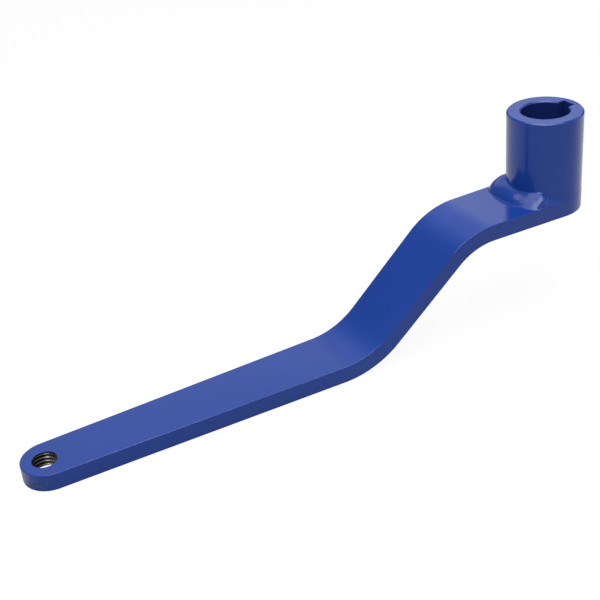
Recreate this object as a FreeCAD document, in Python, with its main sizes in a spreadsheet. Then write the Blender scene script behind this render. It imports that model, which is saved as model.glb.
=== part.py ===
import FreeCAD
import Part
import math
import os
import Sketcher

# Crank arm for a keyed shaft: a joggled, tapered flat bar with a bored hub welded on its wide end
# and a tapped hole for a grip at its narrow end. Millimetres and degrees.
# The hub's bore lies along Z through the origin, and the hub stands on the bar at zero height.
# The bar leaves the hub along +X and steps down to the grip end.

DRIVING_SIZES = [
    ("bore_diameter", 25.0),
    ("hub_diameter", 40.0),
    ("hub_height", 44.5),
    ("keyway_width", 8.0),
    ("keyway_depth", 3.3),
    ("edge_break", 0.8),
    ("keyway_break", 0.4),
    ("bar_thickness", 9.0),
    ("bar_edge_radius", 0.4),
    ("grip_end_radius", 13.5),
    ("crank_radius", 291.5),
    ("grip_hole_outset", 2.0),
    ("shoulder_run", 47.0),
    ("shoulder_bend_radius", 37.0),
    ("foot_bend_radius", 45.5),
    ("slope_angle", 40.5),
    ("drop", 52.5),
    ("tap_drill", 12.0),
    ("upper_mouth", 12.4),
    ("lower_mouth", 15.0),
    ("weld_reach", 7.0),
    ("weld_rise", 6.2),
]

DERIVED_SIZES = [
    ("bore_radius", "bore_diameter / 2"),
    ("hub_radius", "hub_diameter / 2"),
    ("keyway_floor", "bore_radius + keyway_depth"),
    ("half_bar", "bar_thickness / 2"),
    ("hub_end_radius", "hub_radius + bar_edge_radius"),
    ("hub_end_centre", "hub_end_radius - hub_radius"),
    ("grip_end_centre", "crank_radius - grip_hole_outset"),
    ("blank_reach", "hub_diameter"),
    ("trim_reach", "2 * hub_diameter"),
    ("weld_end_y", "hub_radius - bar_edge_radius - weld_reach"),
    ("weld_end_x", "sqrt(hub_radius ^ 2 - weld_end_y ^ 2)"),
    ("weld_half_angle", "asin(weld_end_y / hub_radius) / 1 deg"),
]

# Point numbers and the fixed references of a sketch
START, END, CENTRE = 1, 2, 3
ORIGIN = (-1, 1)
X_AXIS = -1

doc = FreeCAD.newDocument("crank_handle")
sheet = doc.addObject("Spreadsheet::Sheet", "sizes")


def fill_sheet():
    """Write each size beside its name and give its cell that name as an alias."""
    row = 0
    for name, value in DRIVING_SIZES:
        row += 1
        sheet.set("A%d" % row, name)
        sheet.set("B%d" % row, str(value))
        sheet.setAlias("B%d" % row, name)
    doc.recompute()
    for name, formula in DERIVED_SIZES:
        row += 1
        sheet.set("A%d" % row, name)
        sheet.set("B%d" % row, "=" + formula)
        sheet.setAlias("B%d" % row, name)
        doc.recompute()


def size(name):
    """The sheet's value under one alias, as a plain number."""
    return float(sheet.get(name))


def vec(x, y, z=0.0):
    return FreeCAD.Vector(x, y, z)


def new_body(label):
    body = doc.addObject("PartDesign::Body", label)
    body.Label = label
    body.Placement = FreeCAD.Placement()
    return body


def origin_plane(body, role):
    for feature in body.Origin.OriginFeatures:
        if feature.Role == role:
            return feature
    raise RuntimeError("no origin plane " + role)


def lay_on_plane(item, body, role):
    """Attach a sketch or primitive to one of its own body's origin planes."""
    item.AttachmentSupport = [(origin_plane(body, role), "")]
    item.MapMode = "FlatFace"


def new_sketch(body, name, role):
    sketch = body.newObject("Sketcher::SketchObject", name)
    lay_on_plane(sketch, body, role)
    return sketch


def line(sketch, first, last):
    return sketch.addGeometry(Part.LineSegment(first, last), False)


def circle(sketch, centre, radius):
    return sketch.addGeometry(Part.Circle(centre, vec(0, 0, 1), radius), False)


def arc(sketch, centre, radius, first_angle, last_angle):
    """A counter-clockwise arc, with its angles in degrees."""
    whole = Part.Circle(centre, vec(0, 0, 1), radius)
    piece = Part.ArcOfCircle(whole, math.radians(first_angle), math.radians(last_angle))
    return sketch.addGeometry(piece, False)


def hold(sketch, kind, *where):
    """Add a constraint that has no dimension."""
    sketch.addConstraint(Sketcher.Constraint(kind, *where))


def bind(sketch, name, formula, kind, *where_and_value):
    """Add a dimension, name it and bind it to the sheet."""
    index = sketch.addConstraint(Sketcher.Constraint(kind, *where_and_value))
    sketch.renameConstraint(index, name)
    sketch.setExpression("Constraints." + name, formula)


def polygon(sketch, corners):
    """Straight edges from each corner to the next, joined all round."""
    count = len(corners)
    edges = [line(sketch, corners[i], corners[(i + 1) % count]) for i in range(count)]
    for i in range(count):
        hold(sketch, "Coincident", edges[i], END, edges[(i + 1) % count], START)
    return edges


def rectangle(sketch, low, high):
    """A level rectangle; gives its lower, right, upper and left edges."""
    edges = polygon(sketch, [low, vec(high.x, low.y), high, vec(low.x, high.y)])
    for i in (0, 2):
        hold(sketch, "Horizontal", edges[i])
    for i in (1, 3):
        hold(sketch, "Vertical", edges[i])
    return edges


def ring_about_bore(sketch, name):
    """A circle about the bore's axis whose radius is the size of that name."""
    ring = circle(sketch, vec(0, 0), size(name))
    hold(sketch, "Coincident", ring, CENTRE, *ORIGIN)
    bind(sketch, name, "sizes." + name, "Radius", ring, size(name))


def pad(body, sketch, name, length_formula):
    feature = body.newObject("PartDesign::Pad", name)
    feature.Profile = sketch
    feature.setExpression("Length", length_formula)
    return feature


def cut_both_ways(body, sketch, name):
    """A pocket through everything on both sides of its sketch."""
    before = body.Shape.Volume
    feature = body.newObject("PartDesign::Pocket", name)
    feature.Profile = sketch
    feature.Type = "ThroughAll"
    feature.Midplane = True
    doc.recompute()
    if not body.Shape.Volume < before:
        raise RuntimeError(name + " removed nothing")


def dress(body, kind, name, wanted, size_property, formula):
    """A fillet or chamfer of one size on the body's edges for which wanted(edge) is true."""
    base = body.Tip
    names = ["Edge%d" % (i + 1) for i, edge in enumerate(base.Shape.Edges) if wanted(edge)]
    if not names:
        raise RuntimeError(name + " found no edges")
    feature = body.newObject("PartDesign::" + kind, name)
    feature.Base = (base, names)
    feature.setExpression(size_property, formula)
    doc.recompute()
    body.Tip = feature


def near(value, target):
    return abs(value - target) < 0.01


def is_ring(edge, radius, height):
    """True for a circle, or part of one, of this radius that lies level at this height."""
    if not isinstance(edge.Curve, Part.Circle):
        return False
    return near(edge.Curve.Radius, radius) and near(edge.Curve.Center.z, height)


def side_profile(body):
    """The bar seen from the side: two parallel outlines with the shoulder and foot bends between them."""
    sketch = new_sketch(body, "side_profile", "XZ_Plane")
    half = size("half_bar")
    thick = size("bar_thickness")
    run = size("shoulder_run")
    drop = size("drop")
    slope = size("slope_angle")
    shoulder = size("shoulder_bend_radius")
    foot = size("foot_bend_radius")
    tilt = math.radians(slope)
    slope_length = (drop - (shoulder + foot) * (1 - math.cos(tilt))) / math.sin(tilt)
    foot_x = run + (shoulder + foot) * math.sin(tilt) + slope_length * math.cos(tilt)
    shoulder_centre = vec(run, -half - shoulder)
    foot_centre = vec(foot_x, foot - half - drop)
    across_slope = vec(math.sin(tilt), math.cos(tilt))
    back = -size("blank_reach")
    front = size("crank_radius") + size("blank_reach")

    outlines = []
    for offset in (half, -half):
        level = offset - half
        outer = shoulder + offset
        inner = foot - offset
        hub_flat = line(sketch, vec(back, level), vec(run, level))
        bend_down = arc(sketch, shoulder_centre, outer, 90 - slope, 90)
        ramp = line(sketch, shoulder_centre + across_slope * outer, foot_centre - across_slope * inner)
        bend_back = arc(sketch, foot_centre, inner, 270 - slope, 270)
        grip_flat = line(sketch, vec(foot_x, level - drop), vec(front, level - drop))
        hold(sketch, "Tangent", hub_flat, END, bend_down, END)
        hold(sketch, "Tangent", bend_down, START, ramp, START)
        hold(sketch, "Tangent", ramp, END, bend_back, START)
        hold(sketch, "Tangent", bend_back, END, grip_flat, START)
        hold(sketch, "Horizontal", hub_flat)
        hold(sketch, "Horizontal", grip_flat)
        outlines.append((hub_flat, bend_down, ramp, bend_back, grip_flat))
    top_flat, top_shoulder, top_ramp, top_foot, top_grip = outlines[0]
    low_flat, low_shoulder, _, low_foot, low_grip = outlines[1]

    back_edge = line(sketch, vec(back, -thick), vec(back, 0))
    front_edge = line(sketch, vec(front, -thick - drop), vec(front, -drop))
    hold(sketch, "Coincident", back_edge, START, low_flat, START)
    hold(sketch, "Coincident", back_edge, END, top_flat, START)
    hold(sketch, "Coincident", front_edge, START, low_grip, END)
    hold(sketch, "Coincident", front_edge, END, top_grip, END)
    hold(sketch, "Vertical", back_edge)
    hold(sketch, "Vertical", front_edge)
    hold(sketch, "Coincident", top_shoulder, CENTRE, low_shoulder, CENTRE)
    hold(sketch, "Coincident", top_foot, CENTRE, low_foot, CENTRE)
    hold(sketch, "PointOnObject", top_flat, START, X_AXIS)

    bind(sketch, "bend_start", "sizes.shoulder_run", "DistanceX", *ORIGIN, top_shoulder, CENTRE, run)
    bind(sketch, "shoulder_top", "sizes.shoulder_bend_radius + sizes.half_bar",
         "Radius", top_shoulder, shoulder + half)
    bind(sketch, "shoulder_under", "sizes.shoulder_bend_radius - sizes.half_bar",
         "Radius", low_shoulder, shoulder - half)
    bind(sketch, "foot_top", "sizes.foot_bend_radius - sizes.half_bar", "Radius", top_foot, foot - half)
    bind(sketch, "foot_under", "sizes.foot_bend_radius + sizes.half_bar", "Radius", low_foot, foot + half)
    bind(sketch, "slope", "-sizes.slope_angle * 1 deg", "Angle", top_ramp, -tilt)
    bind(sketch, "drop", "sizes.drop", "DistanceY", front_edge, END, *ORIGIN, drop)
    bind(sketch, "blank_back", "sizes.blank_reach", "DistanceX", back_edge, START, *ORIGIN, -back)
    bind(sketch, "blank_front", "sizes.crank_radius + sizes.blank_reach",
         "DistanceX", *ORIGIN, front_edge, START, front)
    return sketch


def plan_outline(body):
    """The bar seen from above, as the opening in a larger frame: two round ends joined by straight flanks.

    The wide end is flush with the hub at its back and stands out past it at its sides.
    """
    sketch = new_sketch(body, "plan_outline", "XY_Plane")
    big = size("hub_end_radius")
    small = size("grip_end_radius")
    hub_centre = vec(size("hub_end_centre"), 0)
    grip_centre = vec(size("grip_end_centre"), 0)
    lean = math.asin((big - small) / (grip_centre.x - hub_centre.x))
    turn = math.degrees(lean)
    left = vec(math.sin(lean), math.cos(lean))
    right = vec(math.sin(lean), -math.cos(lean))
    hub_end = arc(sketch, hub_centre, big, 90 - turn, 270 + turn)
    grip_end = arc(sketch, grip_centre, small, turn - 90, 90 - turn)
    left_flank = line(sketch, hub_centre + left * big, grip_centre + left * small)
    right_flank = line(sketch, hub_centre + right * big, grip_centre + right * small)
    hold(sketch, "Tangent", hub_end, START, left_flank, START)
    hold(sketch, "Tangent", left_flank, END, grip_end, END)
    hold(sketch, "Tangent", hub_end, END, right_flank, START)
    hold(sketch, "Tangent", right_flank, END, grip_end, START)
    for end in (hub_end, grip_end):
        hold(sketch, "PointOnObject", end, CENTRE, X_AXIS)
    bind(sketch, "hub_end", "sizes.hub_end_radius", "Radius", hub_end, big)
    bind(sketch, "grip_end", "sizes.grip_end_radius", "Radius", grip_end, small)
    bind(sketch, "hub_end_centre", "sizes.hub_end_centre",
         "DistanceX", *ORIGIN, hub_end, CENTRE, hub_centre.x)
    bind(sketch, "grip_end_centre", "sizes.grip_end_centre",
         "DistanceX", *ORIGIN, grip_end, CENTRE, grip_centre.x)

    reach = size("trim_reach")
    front = size("crank_radius") + reach
    lower, _, upper, _ = rectangle(sketch, vec(-reach, -reach), vec(front, reach))
    bind(sketch, "frame_back", "sizes.trim_reach", "DistanceX", lower, START, *ORIGIN, reach)
    bind(sketch, "frame_right", "sizes.trim_reach", "DistanceY", lower, START, *ORIGIN, reach)
    bind(sketch, "frame_left", "sizes.trim_reach", "DistanceY", *ORIGIN, upper, START, reach)
    bind(sketch, "frame_front", "sizes.crank_radius + sizes.trim_reach",
         "DistanceX", *ORIGIN, upper, START, front)
    return sketch


def keyway_outline(body):
    """The keyway's plan, from the bore's axis out to its floor on the side away from the arm."""
    sketch = new_sketch(body, body.Label + "_keyway_outline", "XY_Plane")
    width = size("keyway_width")
    floor = size("keyway_floor")
    lower, right, _, _ = rectangle(sketch, vec(-floor, -width / 2), vec(0, width / 2))
    hold(sketch, "Symmetric", right, START, right, END, *ORIGIN)
    bind(sketch, "floor", "sizes.keyway_floor", "DistanceX", lower, START, *ORIGIN, floor)
    bind(sketch, "width", "sizes.keyway_width", "DistanceY", right, START, right, END, width)
    return sketch


def add_grip_hole(body):
    """The tapped hole, at its tap-drill size, with a chamfered mouth on both faces of the grip flat."""
    place = new_sketch(body, "grip_hole_place", "XY_Plane")
    place.setExpression("AttachmentOffset.Base.z", "-sizes.drop")
    drill = size("tap_drill")
    spot = circle(place, vec(size("crank_radius"), 0), drill / 2)
    hold(place, "PointOnObject", spot, CENTRE, X_AXIS)
    bind(place, "throw", "sizes.crank_radius", "DistanceX", *ORIGIN, spot, CENTRE, size("crank_radius"))
    bind(place, "drill", "sizes.tap_drill", "Diameter", spot, drill)
    doc.recompute()
    hole = body.newObject("PartDesign::Hole", "grip_hole")
    hole.Profile = place
    doc.recompute()
    hole.DepthType = "ThroughAll"
    hole.setExpression("Diameter", "sizes.tap_drill")
    doc.recompute()
    body.Tip = hole
    upper_face = -size("drop")
    lower_face = upper_face - size("bar_thickness")
    for name, height in (("upper_mouth", upper_face), ("lower_mouth", lower_face)):
        dress(body, "Chamfer", "grip_hole_" + name, lambda edge: is_ring(edge, drill / 2, height),
              "Size", "(sizes.%s - sizes.tap_drill) / 2" % name)


def build_arm():
    """The joggled bar, with the lower end of the keyed bore and the tapped hole for the grip."""
    body = new_body("arm")
    strip = pad(body, side_profile(body), "bent_strip", "2 * sizes.blank_reach")
    strip.Midplane = True
    doc.recompute()
    cut_both_ways(body, plan_outline(body), "plan_trim")

    def runs_along_a_flank(edge):
        """True for the outline's edges, and not for upright corners or the lines across a bend."""
        first, last = edge.Vertexes[0].Point, edge.Vertexes[-1].Point
        return not (isinstance(edge.Curve, Part.Line) and near(first.x, last.x))

    dress(body, "Fillet", "rolled_edges", runs_along_a_flank, "Radius", "sizes.bar_edge_radius")
    land = body.newObject("PartDesign::AdditiveCylinder", "hub_land")
    lay_on_plane(land, body, "XY_Plane")
    land.setExpression("Radius", "sizes.hub_radius")
    land.setExpression("Height", "sizes.bar_edge_radius")
    land.setExpression("AttachmentOffset.Base.z", "-sizes.bar_edge_radius")
    doc.recompute()
    bore_outline = new_sketch(body, "arm_bore_outline", "XY_Plane")
    ring_about_bore(bore_outline, "bore_radius")
    cut_both_ways(body, bore_outline, "bore")

    def is_lower_mouth(edge):
        return is_ring(edge, size("bore_radius"), -size("bar_thickness"))

    dress(body, "Chamfer", "bore_mouth", is_lower_mouth, "Size", "sizes.edge_break")
    cut_both_ways(body, keyway_outline(body), "keyway")
    add_grip_hole(body)
    return body


def build_hub():
    """The turned tube on the bar's wide end, chamfered inside and out at its mouth, with the keyway."""
    body = new_body("hub")
    section = new_sketch(body, "hub_section", "XY_Plane")
    ring_about_bore(section, "hub_radius")
    ring_about_bore(section, "bore_radius")
    pad(body, section, "tube", "sizes.hub_height")
    doc.recompute()
    top = size("hub_height")
    slot_reach = size("bore_radius") + size("edge_break")

    def is_mouth(edge):
        return near(edge.BoundBox.ZMin, top)

    def is_slot_rim(edge):
        """True for the slot's three straight edges on the hub's end face."""
        straight = isinstance(edge.Curve, Part.Line)
        return straight and is_mouth(edge) and edge.BoundBox.XMin < -slot_reach

    dress(body, "Chamfer", "mouth", is_mouth, "Size", "sizes.edge_break")
    cut_both_ways(body, keyway_outline(body), "keyway")
    dress(body, "Chamfer", "keyway_rim", is_slot_rim, "Size", "sizes.keyway_break")
    return body


def bead_section(body):
    """The fillet weld's section: a triangle with its square corner where the hub meets the bar."""
    sketch = new_sketch(body, "bead_section", "XZ_Plane")
    root = size("hub_radius")
    reach = size("weld_reach")
    rise = size("weld_rise")
    base, _, upright = polygon(sketch, [vec(root, 0), vec(root + reach, 0), vec(root, rise)])
    hold(sketch, "Horizontal", base)
    hold(sketch, "Vertical", upright)
    hold(sketch, "PointOnObject", base, START, X_AXIS)
    bind(sketch, "root", "sizes.hub_radius", "DistanceX", *ORIGIN, base, START, root)
    bind(sketch, "reach", "sizes.weld_reach", "DistanceX", base, START, base, END, reach)
    bind(sketch, "rise", "sizes.weld_rise", "DistanceY", upright, END, upright, START, rise)
    return sketch


def build_weld():
    """The fillet weld: a ring sector round the arm side of the hub that ends in a half cone each side.

    Each cone's toe stops at the rolled edge of the bar's flank.
    """
    body = new_body("weld_bead")
    bead = body.newObject("PartDesign::Revolution", "bead")
    section = bead_section(body)
    bead.Profile = section
    bead.ReferenceAxis = (section, ["V_Axis"])
    bead.Midplane = True
    bead.setExpression("Angle", "2 * sizes.weld_half_angle")
    doc.recompute()
    for name, side in (("left_end", "sizes.weld_end_y"), ("right_end", "-sizes.weld_end_y")):
        end = body.newObject("PartDesign::AdditiveCone", name)
        lay_on_plane(end, body, "XY_Plane")
        end.Radius2 = 0
        end.setExpression("Radius1", "sizes.weld_reach")
        end.setExpression("Height", "sizes.weld_rise")
        end.setExpression("AttachmentOffset.Base.x", "sizes.weld_end_x")
        end.setExpression("AttachmentOffset.Base.y", side)
        doc.recompute()
    seat = body.newObject("PartDesign::SubtractiveCylinder", "hub_seat")
    lay_on_plane(seat, body, "XY_Plane")
    seat.setExpression("Radius", "sizes.hub_radius")
    seat.setExpression("Height", "sizes.hub_height")
    doc.recompute()
    return body


def check(bodies):
    """Stop if any object failed or any piece isn't one valid solid."""
    for item in doc.Objects:
        if "Invalid" in item.State or "Error" in item.State:
            raise RuntimeError("%s failed: %s" % (item.Name, item.State))
    for body in bodies:
        if body.Shape.isNull() or not body.Shape.isValid() or len(body.Shape.Solids) != 1:
            raise RuntimeError(body.Label + " isn't one valid solid")


def main():
    fill_sheet()
    bodies = [build_arm(), build_hub(), build_weld()]
    doc.recompute()
    check(bodies)
    os.makedirs("parts", exist_ok=True)
    for body in bodies:
        body.Shape.exportStep("parts/%s.step" % body.Label)
        print(body.Label, "%.0f cubic mm" % body.Shape.Volume)


main()
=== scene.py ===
"""Crank handle: a joggled, tapered flat bar with a keyed hub welded on, painted blue all over."""
import logging
import math
from collections.abc import Callable, Iterable, Iterator
from contextlib import contextmanager
from dataclasses import dataclass
from enum import Enum

import bmesh
import bpy
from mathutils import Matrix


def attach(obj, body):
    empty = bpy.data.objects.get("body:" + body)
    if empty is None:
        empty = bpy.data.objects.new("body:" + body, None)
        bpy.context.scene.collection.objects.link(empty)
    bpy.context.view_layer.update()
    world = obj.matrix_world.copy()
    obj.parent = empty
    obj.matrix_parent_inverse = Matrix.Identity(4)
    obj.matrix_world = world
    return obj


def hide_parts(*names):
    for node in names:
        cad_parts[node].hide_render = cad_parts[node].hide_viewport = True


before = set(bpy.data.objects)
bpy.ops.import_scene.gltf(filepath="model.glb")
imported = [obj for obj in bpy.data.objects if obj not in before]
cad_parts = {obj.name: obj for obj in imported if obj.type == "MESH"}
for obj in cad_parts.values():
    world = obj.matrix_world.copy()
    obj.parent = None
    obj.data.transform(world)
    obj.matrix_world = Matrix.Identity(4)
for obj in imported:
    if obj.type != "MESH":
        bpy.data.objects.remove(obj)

MM = 0.001
SLIVER = 1e-6  # points nearer than this, in metres, are one point
LEVEL = 0.9  # the least upright part, up or down, of a level face's normal
FACE_WEIGHT = 80  # how strongly the larger faces decide the normals
ROOT = "root"
log = logging.getLogger("crank_handle")

Piece = bpy.types.Object
Face = bmesh.types.BMFace
Material = bpy.types.Material
Group = bpy.types.NodeTree
Node = bpy.types.Node
Socket = bpy.types.NodeSocket
Point = tuple[float, float, float]
Station = tuple[float, float, float, float]
Ramp = tuple[float, float, float, float]
Colour = tuple[float, float, float, float]

ORIGIN: Point = (0.0, 0.0, 0.0)
UP: Point = (0.0, 0.0, 1.0)
WHITE: Colour = (1.0, 1.0, 1.0, 1.0)


class Domain(Enum):
    """What a selection in edit mode is made of."""

    VERTS = "VERT"
    EDGES = "EDGE"
    FACES = "FACE"


class Axis(Enum):
    """A direction to spin about."""

    Y = (0.0, 1.0, 0.0)
    Z = (0.0, 0.0, 1.0)


class Keep(Enum):
    """Which part of a piece a tool object leaves."""

    OUTSIDE = "DIFFERENCE"
    INSIDE = "INTERSECT"


class Mouth(Enum):
    """One of the tapped hole's two mouths."""

    UPPER = "upper"
    LOWER = "lower"


class Coordinates(Enum):
    """Where a finish or the world reads its place: on the piece, or in a direction."""

    PIECE = "Object"
    DIRECTION = "Generated"


class Glow(Enum):
    """A shader that gives light: a surface's own or the world's."""

    SURFACE = "ShaderNodeEmission"
    WORLD = "ShaderNodeBackground"


def metres(lengths: Iterable[float]) -> tuple[float, ...]:
    """Turn millimetres into metres."""
    return tuple(length * MM for length in lengths)


def faces_up(face: Face) -> bool:
    """Whether a face is level and turned up."""
    return face.normal.z > LEVEL


def faces_down(face: Face) -> bool:
    """Whether a face is level and turned down."""
    return face.normal.z < -LEVEL


def deselect_all() -> None:
    """Return to object mode with nothing selected."""
    if bpy.context.object and bpy.context.object.mode != "OBJECT":
        bpy.ops.object.mode_set(mode="OBJECT")
    bpy.ops.object.select_all(action="DESELECT")


def activate(piece: Piece) -> None:
    """Make one piece the only selected and the active object.

    Args:
        piece: the object to select.
    """
    deselect_all()
    piece.select_set(True)
    bpy.context.view_layer.objects.active = piece


@contextmanager
def editing(piece: Piece) -> Iterator[None]:
    """Edit mode on one piece, with all of its mesh selected, for the length of a with block.

    Args:
        piece: the mesh object to edit.
    """
    activate(piece)
    bpy.ops.object.mode_set(mode="EDIT")
    bpy.ops.mesh.select_mode(type=Domain.VERTS.value)
    bpy.ops.mesh.select_all(action="SELECT")
    yield
    bpy.ops.object.mode_set(mode="OBJECT")


def pick(piece: Piece, domain: Domain, wanted: Callable[..., bool]) -> None:
    """Select exactly the elements for which wanted is true, in edit mode.

    Args:
        piece: the object in edit mode.
        domain: vertices, edges or faces.
        wanted: a test of one bmesh element.
    """
    bpy.ops.mesh.select_mode(type=domain.value)
    bpy.ops.mesh.select_all(action="DESELECT")
    shape = bmesh.from_edit_mesh(piece.data)
    lists = {Domain.VERTS: shape.verts, Domain.EDGES: shape.edges, Domain.FACES: shape.faces}
    for element in [element for element in lists[domain] if wanted(element)]:
        element.select_set(True)
    bmesh.update_edit_mesh(piece.data)


def move(offset: Point) -> None:
    """Move what is selected in edit mode by an offset in millimetres."""
    bpy.ops.transform.translate(value=metres(offset))


def extrude(offset: Point) -> None:
    """Extrude what is selected in edit mode by an offset in millimetres."""
    bpy.ops.mesh.extrude_region_move(TRANSFORM_OT_translate={"value": metres(offset)})


def widen(factors: Point, pivot: Point = ORIGIN) -> None:
    """Scale what is selected in edit mode from a pivot in millimetres."""
    bpy.ops.transform.resize(value=factors, center_override=metres(pivot))


def spin(angle: float, steps: int, centre: Point, axis: Axis) -> None:
    """Spin what is selected in edit mode, right-handed about the axis.

    Args:
        angle: the turn in degrees.
        steps: how many strips the turn is divided into.
        centre: a point on the axis, in millimetres.
        axis: the direction of the axis.
    """
    turn = -math.radians(angle)
    bpy.ops.mesh.spin(steps=steps, angle=turn, center=metres(centre), axis=axis.value)


def close_shell() -> None:
    """Merge doubles and turn every face outwards, in edit mode."""
    bpy.ops.mesh.select_all(action="SELECT")
    bpy.ops.mesh.remove_doubles(threshold=SLIVER)
    bpy.ops.mesh.normals_make_consistent(inside=False)


def settle(piece: Piece) -> None:
    """Put a piece's place, turn and scale into its mesh."""
    activate(piece)
    bpy.ops.object.transform_apply(location=True, rotation=True, scale=True)


def take_new(name: str) -> Piece:
    """Name the object that an operator has just added."""
    bpy.context.object.name = name
    return bpy.context.object


def add_square(name: str) -> Piece:
    """Add a level square at the origin, one millimetre wide.

    Args:
        name: the new object's name.

    Returns:
        The new object.
    """
    deselect_all()
    bpy.ops.mesh.primitive_plane_add(size=MM, location=ORIGIN)
    return take_new(name)


def draw_chain(name: str, points: list[Point], closed: bool) -> Piece:
    """Draw a chain of edges: a square merged to one point, extruded from corner to corner.

    Args:
        name: the new object's name.
        points: the chain's corners in millimetres.
        closed: whether the last corner joins the first.

    Returns:
        The new object, at the origin.
    """
    chain = add_square(name)
    with editing(chain):
        bpy.ops.mesh.merge(type="CENTER")
        move(points[0])
        for before, after in zip(points, points[1:]):
            extrude(tuple(b - a for a, b in zip(before, after)))
        if closed:
            pick(chain, Domain.VERTS, lambda vert: len(vert.link_edges) == 1)
            bpy.ops.mesh.edge_face_add()
    return chain


def add_rod(
    name: str, radius: float, low: float, high: float, sides: int, at: Point = ORIGIN
) -> Piece:
    """Add an upright closed cylinder, with its place in its mesh.

    Args:
        name: the new object's name.
        radius: in millimetres.
        low: the lower end's height in millimetres.
        high: the upper end's height in millimetres.
        sides: how many sides stand for the round.
        at: where the axis passes, in millimetres.

    Returns:
        The new object, at the origin.
    """
    deselect_all()
    middle = metres((at[0], at[1], (low + high) / 2))
    bpy.ops.mesh.primitive_cylinder_add(
        vertices=sides, radius=radius * MM, depth=(high - low) * MM, location=middle
    )
    rod = take_new(name)
    settle(rod)
    return rod


def add_block(name: str, low: Point, high: Point) -> Piece:
    """Add a level box between two corners in millimetres, with its place in its mesh.

    Args:
        name: the new object's name.
        low: the corner with the lowest values.
        high: the corner with the highest values.

    Returns:
        The new object, at the origin.
    """
    deselect_all()
    middle = metres((a + b) / 2 for a, b in zip(low, high))
    bpy.ops.mesh.primitive_cube_add(size=1.0, location=middle)
    block = take_new(name)
    block.scale = metres(b - a for a, b in zip(low, high))
    settle(block)
    return block


def apply_modifier(piece: Piece, kind: str, **settings: object) -> None:
    """Add one modifier with its settings and apply it.

    Args:
        piece: the object to change.
        kind: the modifier's type, such as BOOLEAN.
        settings: the modifier's properties.
    """
    activate(piece)
    modifier = piece.modifiers.new(kind.title(), kind)
    for name, value in settings.items():
        setattr(modifier, name, value)
    bpy.ops.object.modifier_apply(modifier=modifier.name)


def combine(piece: Piece, tool: Piece, keep: Keep) -> None:
    """Cut or trim a piece with a tool object, which is used up.

    Args:
        piece: the object that stays.
        tool: the object that is deleted afterwards.
        keep: which part of the piece the tool leaves.
    """
    apply_modifier(piece, "BOOLEAN", operation=keep.value, solver="MANIFOLD", object=tool)
    deselect_all()
    bpy.data.objects.remove(tool)
    with editing(piece):
        bpy.ops.mesh.remove_doubles(threshold=SLIVER)


def shade(piece: Piece, angle: float) -> None:
    """Shade a piece smooth, with its normals weighted to the larger faces.

    Args:
        piece: the piece to shade.
        angle: the sharpest angle in degrees that is still smooth.
    """
    activate(piece)
    bpy.ops.object.shade_smooth_by_angle(angle=math.radians(angle))
    apply_modifier(piece, "WEIGHTED_NORMAL", keep_sharp=True, weight=FACE_WEIGHT)


def give_finish(piece: Piece, finish: Material) -> None:
    """Put one finish on all of a piece."""
    piece.data.materials.clear()
    piece.data.materials.append(finish)


def give_finish_to_faces(piece: Piece, finish: Material, wanted: Callable[[Face], bool]) -> None:
    """Put a further finish on some faces of a piece.

    Args:
        piece: the piece, which already has its main finish.
        finish: the further finish.
        wanted: a test of one face.
    """
    piece.data.materials.append(finish)
    piece.active_material_index = len(piece.data.materials) - 1
    with editing(piece):
        pick(piece, Domain.FACES, wanted)
        bpy.ops.object.material_slot_assign()


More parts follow.
